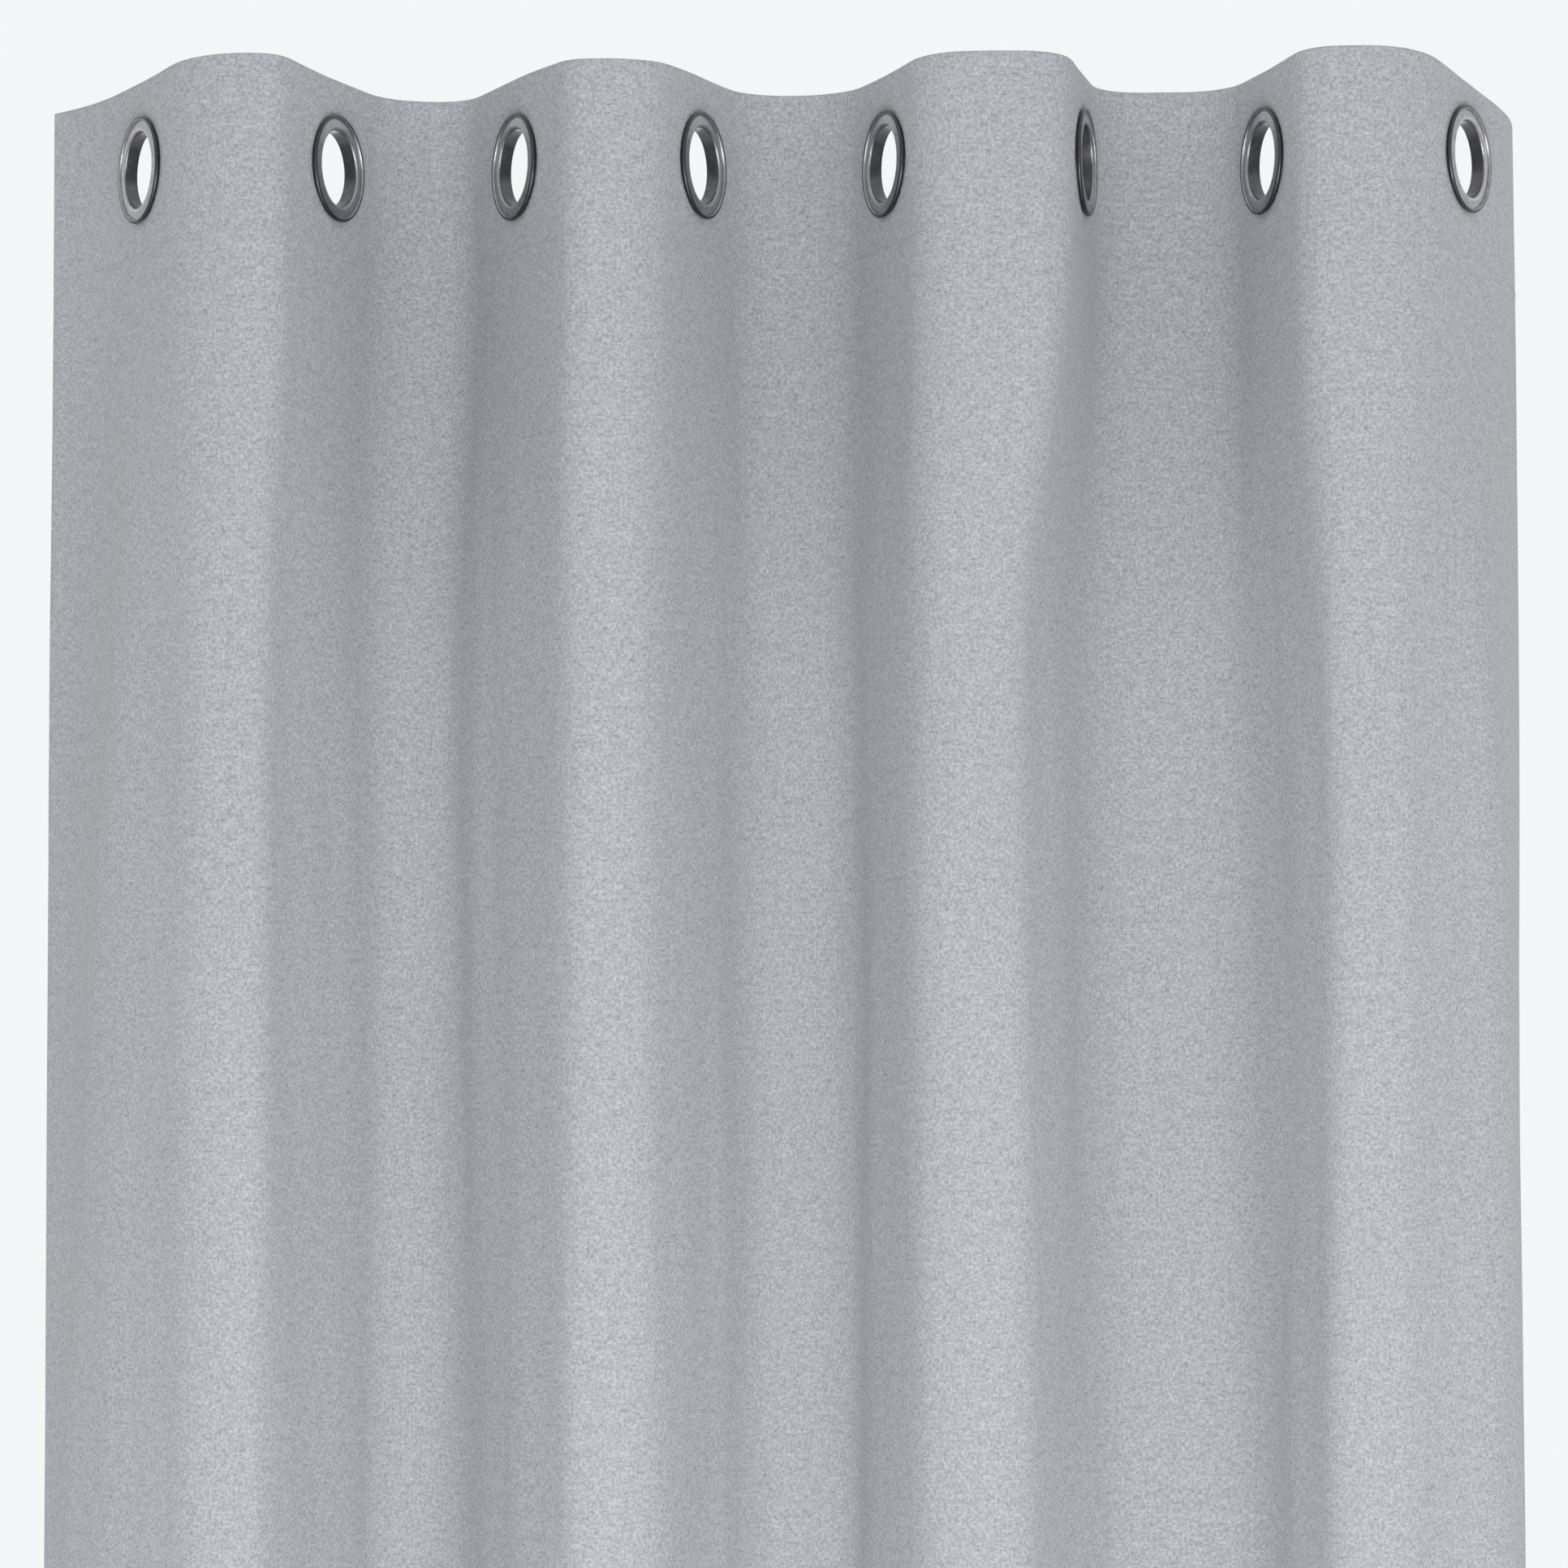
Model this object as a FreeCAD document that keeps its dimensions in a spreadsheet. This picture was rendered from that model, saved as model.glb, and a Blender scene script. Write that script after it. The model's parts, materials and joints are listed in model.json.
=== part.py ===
import FreeCAD, Part
import math
import os
import Sketcher

# An eyelet curtain panel, hanging from a round rod.
# +X runs along the rod, -Y is the face side of the cloth, +Z is up.
# The origin is the centre of the first eyelet, at the left end of the panel.
#
# The cloth is one wave of straight stretches and arcs, the same at every height.
# An eyelet sits in the middle of each straight stretch, and a fold line runs
# down the crest of each wave, halfway round the cloth between two eyelets.
# Strip 0 is the outer edge, and strips 1 to 8 are the folds around the eyelets.

EYELETS = 8

SIZES = {
    # the flat panel
    "drop": 2500.0,
    "cloth_thickness": 1.0,
    "stiffener_thickness": 0.5,
    "header_depth": 100.0,
    "bottom_hem_depth": 80.0,
    "side_hem_width": 25.0,
    "hem_layers": 2.0,
    "eyelet_spacing": 175.0,
    "side_margin": 110.0,
    "eyelet_below_top": 50.0,
    # the wave: distance along the rod between eyelets
    "pitch_1": 106.8,
    "pitch_2": 101.1,
    "pitch_3": 100.8,
    "pitch_4": 103.3,
    "pitch_5": 107.7,
    "pitch_6": 100.4,
    "pitch_7": 109.8,
    # the wave: angle between the cloth at each eyelet and the rod, in degrees
    "tilt_1": 61.0,
    "tilt_2": 69.0,
    "tilt_3": 63.0,
    "tilt_4": 69.0,
    "tilt_5": 68.0,
    "tilt_6": 79.0,
    "tilt_7": 72.0,
    "tilt_8": 62.0,
    # the shortest flat stretch of cloth from an eyelet's centre to where a fold begins
    "eyelet_flat": 34.0,
    # beyond the end eyelets, the left edge curls out along the rod and the right one in
    "left_straight": 38.0,
    "left_turn": 18.0,
    "right_straight": 38.0,
    "right_turn": 22.0,
    # the cloth is divided at the fold lines, with these gaps to turn in
    "strip_gap": 1.2,
    "header_gap": 3.8,
    "edge_strip_width": 60.0,
    "edge_gap": 3.0,
    # the eyelet: a front ring whose barrel goes through the cloth into a back ring
    "bore_radius": 21.0,
    "barrel_radius": 23.0,
    "barrel_clearance": 0.05,
    "cloth_hole_radius": 23.6,
    "flange_radius": 28.5,
    "rim_radius": 1.2,
    "rim_height": 0.8,
    "lip_radius": 1.8,
    "lip_height": 1.1,
}


def make_sheet(doc):
    """The driving dimensions, one aliased row each."""
    sheet = doc.addObject("Spreadsheet::Sheet", "sizes")
    for row, (alias, value) in enumerate(SIZES.items(), start=1):
        sheet.set("A%d" % row, alias)
        sheet.set("B%d" % row, str(value))
        sheet.setAlias("B%d" % row, alias)
    doc.recompute()
    return sheet


# ---------------------------------------------------------------- the wave

def half_wave(run, depth, tilt, flat):
    """From a fold line to an eyelet: (crest length, arc radius, straight length).

    run and depth are the eyelet's distance from the fold line along and across the rod.
    The arc takes all the room there is, unless it would reach the flat that the eyelet needs.
    """
    radius = (run * math.tan(tilt) - depth) / (1 / math.cos(tilt) - 1)
    straight = (depth - radius * (1 - math.cos(tilt))) / math.sin(tilt)
    if straight < flat:
        straight = flat
        radius = (depth - straight * math.sin(tilt)) / (1 - math.cos(tilt))
    crest = run - radius * math.sin(tilt) - straight * math.cos(tilt)
    return crest, radius, straight


def half_length(half, tilt):
    crest, radius, straight = half
    return crest + radius * tilt + straight


def solve_fold(pitch, tilt_a, tilt_b, cloth, flat):
    """The fold between two eyelets: its depth, and its distance along the rod from the first.

    Fully gathered, every strip stands square to the rod. The fold line is placed so that
    both eyelets are then on the rod's line, and as deep as the length of cloth makes it.
    """
    turn_a = math.pi / 2 - tilt_a
    turn_b = math.pi / 2 - tilt_b
    # a deeper fold takes more cloth, so halving this range again and again finds the depth
    low, high = 20.0, 110.0
    for _ in range(60):
        depth = (low + high) / 2
        swing = depth * (math.cos(turn_a) - math.cos(turn_b))
        run_a = (pitch * math.sin(turn_b) - swing) / (math.sin(turn_a) + math.sin(turn_b))
        run_b = pitch - run_a
        half_a = half_wave(run_a, depth, tilt_a, flat)
        half_b = half_wave(run_b, depth, tilt_b, flat)
        if half_length(half_a, tilt_a) + half_length(half_b, tilt_b) > cloth:
            high = depth
        else:
            low = depth
    return {"depth": depth, "run": run_a, "halves": (half_a, half_b)}


def half_path(half, tilt, side, from_fold):
    """The moves of half a wave: (length, turn) pairs, in travel towards +X."""
    crest, radius, straight = half
    turn = side * tilt
    moves = [(crest, 0.0), (radius * tilt, turn), (straight, 0.0)]
    if not from_fold:
        moves = [(length, -angle) for length, angle in reversed(moves)]
    return [move for move in moves if move[0] > 1e-6]


def wave(sheet):
    """The whole cloth's centre line: eyelet and fold places, and each strip's moves."""
    tilts = [math.radians(sheet.get("tilt_%d" % (i + 1))) for i in range(EYELETS)]
    places = [0.0]
    for i in range(EYELETS - 1):
        places.append(places[-1] + sheet.get("pitch_%d" % (i + 1)))
    folds = []
    for i in range(EYELETS - 1):
        fold = solve_fold(
            places[i + 1] - places[i], tilts[i], tilts[i + 1], sheet.eyelet_spacing, sheet.eyelet_flat
        )
        # even gaps fold towards the face, odd ones towards the wall
        fold["side"] = -1 if i % 2 == 0 else 1
        fold["place"] = (places[i] + fold["run"], fold["side"] * fold["depth"])
        folds.append(fold)

    strips = []
    for i in range(EYELETS):
        # the cloth crosses the rod towards the face at odd eyelets, towards the wall at even ones
        side = -1 if i % 2 == 0 else 1
        if i == 0:
            turn = math.radians(sheet.left_turn)
            left = [(sheet.side_margin - sheet.left_straight, side * turn), (sheet.left_straight, 0.0)]
            heading = side * (tilts[0] - turn)
            before = sheet.side_margin
        else:
            left = half_path(folds[i - 1]["halves"][1], tilts[i], side, True)
            heading = 0.0
            before = half_length(folds[i - 1]["halves"][1], tilts[i])
        if i == EYELETS - 1:
            turn = math.radians(sheet.right_turn)
            right = [(sheet.right_straight, 0.0), (sheet.side_margin - sheet.right_straight, side * turn)]
            after = sheet.side_margin
        else:
            right = half_path(folds[i]["halves"][0], tilts[i], side, False)
            after = half_length(folds[i]["halves"][0], tilts[i])
        # the straights that meet at the eyelet are one flat stretch of cloth
        moves = left[:-1] + [(left[-1][0] + right[0][0], 0.0)] + right[1:]
        end = walk((0.0, 0.0), heading, left)[-1]
        start = (places[i] - end[0], -end[1])
        strips.append(
            {"start": start, "heading": heading, "moves": moves, "before": before, "after": after,
             "tilt": side * tilts[i], "place": places[i]}
        )
    return strips, folds


def walk(start, heading, moves, offset=0.0):
    """The points of a path of (length, turn) moves, moved sideways by offset to its left.

    Each move gives its middle and its end, so that arcs can be drawn through three points.
    """
    x, y = start
    x -= offset * math.sin(heading)
    y += offset * math.cos(heading)
    points = [(x, y)]
    for length, turn in moves:
        if turn:
            radius = length / turn - offset
            centre = (x - radius * math.sin(heading), y + radius * math.cos(heading))
            for share in (0.5, 1.0):
                angle = heading + turn * share
                points.append((centre[0] + radius * math.sin(angle), centre[1] - radius * math.cos(angle)))
            heading += turn
        else:
            for share in (0.5, 1.0):
                reach = length * share
                points.append((x + reach * math.cos(heading), y + reach * math.sin(heading)))
        x, y = points[-1]
    return points


def trim(strip, begin, finish):
    """A strip's path from one length along its cloth to another."""
    x, y = strip["start"]
    heading = strip["heading"]
    done = 0.0
    kept = []
    start = None
    for length, turn in strip["moves"]:
        low = max(begin, done)
        high = min(finish, done + length)
        if high > low + 1e-9:
            skipped = (low - done) / length
            if start is None:
                if skipped:
                    ahead = walk((x, y), heading, [(low - done, turn * skipped)])
                    start = (ahead[-1], heading + turn * skipped)
                else:
                    start = ((x, y), heading)
            kept.append((high - low, turn * (high - low) / length))
        x, y = walk((x, y), heading, [(length, turn)])[-1]
        heading += turn
        done += length
    return start[0], start[1], kept


def layer_outline(path, near, far):
    """The closed outline, seen from above, of a layer of cloth between two offsets of a path."""
    start, heading, moves = path
    rows = [walk(start, heading, moves, offset) for offset in (near, far)]
    rows = [[FreeCAD.Vector(px, py, 0) for px, py in row] for row in rows]
    edges = []
    for row in rows:
        for i, (length, turn) in enumerate(moves):
            a, middle, b = row[2 * i:2 * i + 3]
            edges.append(Part.Arc(a, middle, b).toShape() if turn else Part.LineSegment(a, b).toShape())
    edges.append(Part.LineSegment(rows[0][0], rows[1][0]).toShape())
    edges.append(Part.LineSegment(rows[0][-1], rows[1][-1]).toShape())
    return Part.Wire(Part.__sortEdges__(edges))


# ---------------------------------------------------------------- the cloth

def cloth_layer(doc, name, path, near, far, bottom, height):
    """An upright layer of cloth along a path. bottom and height are expressions on the sheet."""
    outline = doc.addObject("Part::Feature", name + "_outline")
    outline.Shape = layer_outline(path, near, far)
    layer = doc.addObject("Part::Extrusion", name)
    layer.Base = outline
    layer.DirMode = "Custom"
    layer.Dir = FreeCAD.Vector(0, 0, 1)
    layer.Solid = True
    layer.setExpression("LengthFwd", height)
    layer.setExpression("Placement.Base.z", bottom)
    layer.Label = name
    return layer


def eyelet_hole(doc, layer, name, strip):
    """A layer with the round hole that the eyelet's barrel goes through."""
    layer.Label = name + "_uncut"
    drill = doc.addObject("Part::Cylinder", name + "_drill")
    drill.setExpression("Radius", "sizes.cloth_hole_radius")
    drill.setExpression("Height", "2 * sizes.cloth_hole_radius")
    turn = FreeCAD.Rotation(FreeCAD.Vector(0, 0, 1), through_cloth(strip))
    reach = through_cloth(strip) * -doc.sizes.cloth_hole_radius
    drill.Placement = FreeCAD.Placement(FreeCAD.Vector(strip["place"], 0, 0) + reach, turn)
    cut = doc.addObject("Part::Cut", name + "_cut")
    cut.Base = layer
    cut.Tool = drill
    cut.Label = name
    return cut


def through_cloth(strip):
    """The direction through the cloth at a strip's eyelet, from its face to its back."""
    tilt = strip["tilt"]
    return FreeCAD.Vector(-math.sin(tilt), math.cos(tilt), 0)


def strip_span(sheet, strips, number, gap):
    """Where strip number begins and ends along its path, short of each fold line by half a gap."""
    if number == 0:
        return strips[0], 0.0, sheet.edge_strip_width
    strip = strips[number - 1]
    begin = sheet.edge_strip_width + sheet.edge_gap if number == 1 else gap / 2
    finish = strip["before"] + strip["after"]
    if number < EYELETS:
        finish -= gap / 2
    return strip, begin, finish


TOP = "sizes.eyelet_below_top"
BOTTOM = "sizes.eyelet_below_top - sizes.drop"
HEADER_FOOT = "sizes.eyelet_below_top - sizes.header_depth"


def face_cloth(doc, sheet, strips, number):
    """The face of the curtain, from its top edge to its bottom edge."""
    strip, begin, finish = strip_span(sheet, strips, number, sheet.strip_gap)
    half = sheet.cloth_thickness / 2
    name = "face_cloth_%d" % number
    layer = cloth_layer(doc, name, trim(strip, begin, finish), -half, half, BOTTOM, "sizes.drop")
    return eyelet_hole(doc, layer, name, strip) if number else layer


def header_stiffener(doc, sheet, strips, number):
    """The stiff band inside the top hem, which holds the eyelets."""
    strip, begin, finish = strip_span(sheet, strips, number, sheet.header_gap)
    near = sheet.cloth_thickness / 2
    far = near + sheet.stiffener_thickness
    name = "header_stiffener_%d" % number
    layer = cloth_layer(doc, name, trim(strip, begin, finish), near, far, HEADER_FOOT, "sizes.header_depth")
    return eyelet_hole(doc, layer, name, strip) if number else layer


def header_turning(doc, sheet, strips, number):
    """The cloth turned over to the back, which closes the top hem."""
    strip, begin, finish = strip_span(sheet, strips, number, sheet.header_gap)
    near = sheet.cloth_thickness / 2 + sheet.stiffener_thickness
    far = near + sheet.cloth_thickness
    name = "header_turning_%d" % number
    layer = cloth_layer(doc, name, trim(strip, begin, finish), near, far, HEADER_FOOT, "sizes.header_depth")
    return eyelet_hole(doc, layer, name, strip) if number else layer


def bottom_hem(doc, sheet, strips, number):
    """The bottom edge, turned up twice on the back."""
    strip, begin, finish = strip_span(sheet, strips, number, sheet.header_gap)
    near = sheet.cloth_thickness / 2
    far = near + sheet.cloth_thickness * sheet.hem_layers
    name = "bottom_hem_%d" % number
    return cloth_layer(doc, name, trim(strip, begin, finish), near, far, BOTTOM, "sizes.bottom_hem_depth")


def side_hem(doc, sheet, strips, name):
    """A side edge, turned in twice on the back, between the top and bottom hems."""
    near = sheet.cloth_thickness / 2
    far = near + sheet.cloth_thickness * sheet.hem_layers
    if name == "side_hem_left":
        path = trim(strips[0], 0.0, sheet.side_hem_width)
    else:
        strip = strips[-1]
        finish = strip["before"] + strip["after"]
        path = trim(strip, finish - sheet.side_hem_width, finish)
    bottom = BOTTOM + " + sizes.bottom_hem_depth"
    height = "sizes.drop - sizes.header_depth - sizes.bottom_hem_depth"
    return cloth_layer(doc, name, path, near, far, bottom, height)


# ---------------------------------------------------------------- the eyelets

def base_plane(body, role):
    return [plane for plane in body.Origin.OriginFeatures if plane.Role == role][0]


def turned_ring(doc, name, corners, arcs):
    """A ring turned about its own Z axis from a closed profile.

    corners are (radius, height) expressions on the sheet, in order. arcs maps a corner's
    number to the expression of the radius of the quarter arc from it to the next corner.
    """
    body = doc.addObject("PartDesign::Body", name)
    body.Label = name
    sketch = body.newObject("Sketcher::SketchObject", name + "_profile")
    sketch.AttachmentSupport = (base_plane(body, "XZ_Plane"), [""])
    sketch.MapMode = "FlatFace"

    points = [
        FreeCAD.Vector(sheet_value(doc, across), sheet_value(doc, up), 0) for across, up in corners
    ]
    count = len(points)
    for i, point in enumerate(points):
        following = points[(i + 1) % count]
        if i in arcs:
            # a quarter arc, travelled clockwise about a centre on the inner side of both corners
            radius = sheet_value(doc, arcs[i])
            across = point.x if abs(following.x - point.x - radius) > 1e-6 else following.x
            up = point.y if across == following.x else following.y
            centre = FreeCAD.Vector(across, up, 0)
            circle = Part.Circle(centre, FreeCAD.Vector(0, 0, 1), radius)
            first = math.atan2(following.y - up, following.x - across)
            last = math.atan2(point.y - up, point.x - across)
            sketch.addGeometry(Part.ArcOfCircle(circle, first, last), False)
        else:
            sketch.addGeometry(Part.LineSegment(point, following), False)
    for i in range(count):
        after = (i + 1) % count
        # an arc is drawn from its far corner back to its near one
        leaves = 1 if i in arcs else 2
        enters = 2 if after in arcs else 1
        sketch.addConstraint(Sketcher.Constraint("Coincident", i, leaves, after, enters))
    for i, (across, up) in enumerate(corners):
        corner = 2 if i in arcs else 1
        for kind, size in (("DistanceX", across), ("DistanceY", up)):
            value = sheet_value(doc, size)
            if abs(value) < 1e-9:
                sketch.addConstraint(Sketcher.Constraint("PointOnObject", i, corner, -1))
                continue
            number = sketch.addConstraint(Sketcher.Constraint(kind, -1, 1, i, corner, value))
            sketch.renameConstraint(number, "corner_%d_%s" % (i, kind))
            sketch.setExpression("Constraints.corner_%d_%s" % (i, kind), size)
    for i, size in arcs.items():
        number = sketch.addConstraint(Sketcher.Constraint("Radius", i, sheet_value(doc, size)))
        sketch.renameConstraint(number, "arc_%d" % i)
        sketch.setExpression("Constraints.arc_%d" % i, size)

    ring = body.newObject("PartDesign::Revolution", name + "_turned")
    ring.Profile = sketch
    ring.ReferenceAxis = (sketch, ["V_Axis"])
    ring.Angle = 360.0
    return body


def sheet_value(doc, expression):
    """The number that an expression on the sheet stands for."""
    return float(doc.sizes.evalExpression(expression))


BARREL_END = (
    "-(2 * sizes.cloth_thickness + sizes.stiffener_thickness + sizes.lip_height + sizes.lip_radius)"
)
LIP_TOP = "sizes.lip_height + sizes.lip_radius"
RIM_TOP = "sizes.rim_height + sizes.rim_radius"


def eyelet_front(doc, strip, number):
    """The front ring, seated on the face, with the barrel that the rod goes through."""
    corners = [
        ("sizes.bore_radius", BARREL_END),
        ("sizes.bore_radius", "sizes.lip_height"),
        ("sizes.bore_radius + sizes.lip_radius", LIP_TOP),
        ("sizes.flange_radius - sizes.rim_radius", RIM_TOP),
        ("sizes.flange_radius", "sizes.rim_height"),
        ("sizes.flange_radius", "0"),
        ("sizes.barrel_radius", "0"),
        ("sizes.barrel_radius", BARREL_END),
    ]
    arcs = {1: "sizes.lip_radius", 3: "sizes.rim_radius"}
    body = turned_ring(doc, "eyelet_front_%d" % number, corners, arcs)
    out = through_cloth(strip) * -1
    seat = FreeCAD.Vector(strip["place"], 0, 0) + out * (doc.sizes.cloth_thickness / 2)
    body.Placement = FreeCAD.Placement(seat, FreeCAD.Rotation(FreeCAD.Vector(0, 0, 1), out))
    return body


def eyelet_back(doc, strip, number):
    """The back ring, which snaps over the barrel and clamps the header."""
    inside = "sizes.barrel_radius + sizes.barrel_clearance"
    corners = [
        (inside, "0"),
        (inside, LIP_TOP),
        ("sizes.flange_radius - sizes.rim_radius", RIM_TOP),
        ("sizes.flange_radius", "sizes.rim_height"),
        ("sizes.flange_radius", "0"),
    ]
    body = turned_ring(doc, "eyelet_back_%d" % number, corners, {2: "sizes.rim_radius"})
    out = through_cloth(strip)
    stack = doc.sizes.cloth_thickness * 1.5 + doc.sizes.stiffener_thickness
    seat = FreeCAD.Vector(strip["place"], 0, 0) + out * stack
    body.Placement = FreeCAD.Placement(seat, FreeCAD.Rotation(FreeCAD.Vector(0, 0, 1), out))
    return body


# ---------------------------------------------------------------- the assembly

def build():
    doc = FreeCAD.newDocument("curtain_panel")
    sheet = make_sheet(doc)
    strips, folds = wave(sheet)
    parts = []
    for number in range(EYELETS + 1):
        for layer in (face_cloth, header_stiffener, header_turning, bottom_hem):
            parts.append(layer(doc, sheet, strips, number))
    parts.append(side_hem(doc, sheet, strips, "side_hem_left"))
    parts.append(side_hem(doc, sheet, strips, "side_hem_right"))
    for number, strip in enumerate(strips, start=1):
        parts.append(eyelet_front(doc, strip, number))
        parts.append(eyelet_back(doc, strip, number))
    doc.recompute()
    return doc, parts, strips, folds


def check(doc, parts):
    """Stops if any object failed, or any sub-part isn't one valid solid."""
    for item in doc.Objects:
        if "Invalid" in item.State or "Error" in item.State:
            raise RuntimeError("%s failed: %s" % (item.Label, item.State))
    for part in parts:
        shape = part.Shape
        if shape.isNull() or not shape.isValid() or len(shape.Solids) != 1:
            raise RuntimeError("%s isn't one valid solid" % part.Label)


def export(parts):
    os.makedirs("parts", exist_ok=True)
    for part in parts:
        part.Shape.exportStep("parts/%s.step" % part.Label)


DOC, PARTS, STRIPS, FOLDS = build()
check(DOC, PARTS)
export(PARTS)
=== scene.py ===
import json
import math

import bpy
from mathutils import Matrix, Vector, noise


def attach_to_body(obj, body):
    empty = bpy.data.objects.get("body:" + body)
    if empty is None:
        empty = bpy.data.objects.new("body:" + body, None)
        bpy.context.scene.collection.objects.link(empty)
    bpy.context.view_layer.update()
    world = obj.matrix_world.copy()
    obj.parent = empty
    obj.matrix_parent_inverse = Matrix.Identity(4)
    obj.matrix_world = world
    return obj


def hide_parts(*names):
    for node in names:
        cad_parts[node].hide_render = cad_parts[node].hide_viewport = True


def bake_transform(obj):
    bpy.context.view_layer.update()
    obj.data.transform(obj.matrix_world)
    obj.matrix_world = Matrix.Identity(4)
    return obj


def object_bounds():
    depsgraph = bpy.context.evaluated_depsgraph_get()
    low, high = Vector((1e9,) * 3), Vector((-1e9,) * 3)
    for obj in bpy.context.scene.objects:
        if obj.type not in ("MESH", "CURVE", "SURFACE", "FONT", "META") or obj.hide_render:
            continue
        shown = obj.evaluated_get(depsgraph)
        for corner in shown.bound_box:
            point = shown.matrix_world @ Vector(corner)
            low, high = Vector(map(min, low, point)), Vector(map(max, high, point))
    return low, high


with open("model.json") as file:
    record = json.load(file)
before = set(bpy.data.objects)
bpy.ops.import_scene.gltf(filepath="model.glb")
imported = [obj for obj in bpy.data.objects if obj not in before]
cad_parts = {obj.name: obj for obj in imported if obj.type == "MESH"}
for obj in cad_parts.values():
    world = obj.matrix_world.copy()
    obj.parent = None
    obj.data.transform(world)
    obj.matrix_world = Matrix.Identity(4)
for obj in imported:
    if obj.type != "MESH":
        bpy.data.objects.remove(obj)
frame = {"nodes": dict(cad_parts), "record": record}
cad_low, cad_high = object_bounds()

# An eyelet curtain panel. The metal eyelets are the CAD ones, and the cloth is made here.
# Lengths are in metres. +X runs along the rod, -Y is the face side, +Z is up, and the
# origin is the middle of the first eyelet.
#
# The cloth is nine panels, divided at the eyelets: panel 0 is the outer edge, panels 1 to 7
# are the folds between two eyelets, and panel 8 is the free edge. Each panel is one thin
# closed shell, thicker where the cloth is turned over at the top, the sides and the bottom.

MM = 0.001
# smaller, and larger, than any distance that matters here
TINY = 1e-6
FAR = 1.0

# the cloth, in layers from its middle line: minus is towards the face
FACE = -0.5 * MM
SINGLE_BACK = 0.5 * MM
HEADER_BACK = 2.0 * MM
HEM_BACK = 2.5 * MM
HEADER_DEPTH = 100 * MM
BOTTOM_HEM_DEPTH = 80 * MM
TOP = cad_high.z
BOTTOM = cad_low.z
HEADER_FOOT = TOP - HEADER_DEPTH
HEM_TOP = BOTTOM + BOTTOM_HEM_DEPTH
SIDE_HEM = 25 * MM
SIDE_MARGIN = 110 * MM
EYELET_SPACING = 175 * MM
# the width of the slope where the cloth's back steps down from a hem
HEM_STEP = 0.4 * MM

# the eyelet's hole, and the cloth around it: the grid's square of half side HOLE_SQUARE is
# moved onto the hole, and out to half side AROUND_HOLE the grid closes in on it
HOLE_RADIUS = 23.6 * MM
HOLE_SQUARE = 20 * MM
AROUND_HOLE = 40 * MM
FLANGE_RADIUS = 28.5 * MM
FLAT_AROUND = 34 * MM
# the cloth's swelling around the pressed-in eyelet: its height, its ridge's distance outside
# the flange, and its half width
SWELL_HEIGHT = 0.35 * MM
SWELL_OUTSIDE = 2.5 * MM
SWELL_WIDTH = 5 * MM

# The cloth's middle line, seen from above, has one shape at the header and another lower
# down, where the folds hang looser. It changes smoothly from one to the other between two
# depths under the rod, and the two free edges take longer over it.
LOOSE_FROM = 33 * MM
LOOSE_TO = 280 * MM
EDGE_LOOSE_TO = 1000 * MM
# the length over which its bends are eased, and the places averaged: (share of it, weight)
SOFTEN_HEADER = 5 * MM
SOFTEN_LOWER = 9 * MM
EASING = ((-1.0, 1), (-0.5, 2), (0.0, 2), (0.5, 2), (1.0, 1))

# each fold's crest: how far it stands along the rod from its fold line, and the flat
# stretches of cloth to its left and right, in mm
HEADER_CREST = [15, 0, 2, -3, 0, -10, -16]
HEADER_FLATS = [(0, 6), (0, 0), (5, 0), (0, 0), (0, 0), (0, 0), (11, 0)]
LOWER_CREST = [4, -10, 3, -1, 6, 0, 2]
LOWER_FLATS = [(0, 10), (4, 0), (10, 0), (4, 4), (0, 12), (0, 0), (22, 0)]
# the lower folds' depths as shares of the header's, in front of the rod and behind it
LOWER_CREST_DEPTH = 0.93
LOWER_TROUGH_DEPTH = 0.66
# each eyelet's line of cloth lower down: the cloth's angle to the rod, in degrees, and how
# far the line has moved along and across the rod, in mm
LOWER_TILT = [48, 61, 55, 60, 60, 66, 62, 35]
LOWER_ALONG = [0, -2, -4, 4, -5, -17, 1, -3]
LOWER_ACROSS = [-14, 0, -9, 0, 0, -8, 0, -24]
FLAT_LOWER = 10 * MM

# beyond the end eyelets: (length, turn) of the cloth, outwards from the eyelet
HEADER_LEFT = [(38 * MM, 0.0), (72 * MM, math.radians(20))]
HEADER_RIGHT = [(38 * MM, 0.0), (72 * MM, math.radians(26))]
LOWER_LEFT = [(20 * MM, 0.0), (86 * MM, math.radians(-17))]
LOWER_RIGHT = [(4 * MM, 0.0), (94 * MM, math.radians(90))]

# how much each fold's top edge is raised, and how far the free top corner hangs down, in mm
TOP_LIFT = [2.6, 0.0, -2.8, 1.3, 2.1, 0.4, 2.3]
CORNER_DROOP = 14
# both die away between two depths under the rod, and the corner's droop grows between two
# distances past the last eyelet and between two distances from its middle
LIFT_FADE = (100 * MM, 500 * MM)
DROOP_PAST_RING = (-70 * MM, 90 * MM)
DROOP_AROUND_RING = (31 * MM, 50 * MM)

# The cloth's own unevenness, from long upright waves to small dents: waves per metre across
# and down, a place in the noise, the height in mm, and the share already there at the header.
RIPPLES = (
    (15, 1.2, 3.1, 4.0, 0.0),
    (31, 2.6, 5.4, 1.6, 0.0),
    (40, 7.5, 8.7, 0.8, 0.3),
    (95, 30, 1.9, 0.12, 1.0),
)
# the rest of it comes between two depths under the rod, and none reaches the eyelets
RIPPLE_DEPTHS = (50 * MM, 350 * MM)
RIPPLE_AROUND_RING = (FLAT_AROUND, 70 * MM)


# ---------------------------------------------------------------- the wave of the cloth

def smooth(value, low, high):
    """0 below low, 1 above high, and an even curve between them."""
    share = min(1.0, max(0.0, (value - low) / (high - low)))
    return share * share * (3 - 2 * share)


def eyelet_mounts():
    return [mount for mount in frame["record"]["mounts"] if mount["name"].startswith("eyelet_")]


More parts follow.
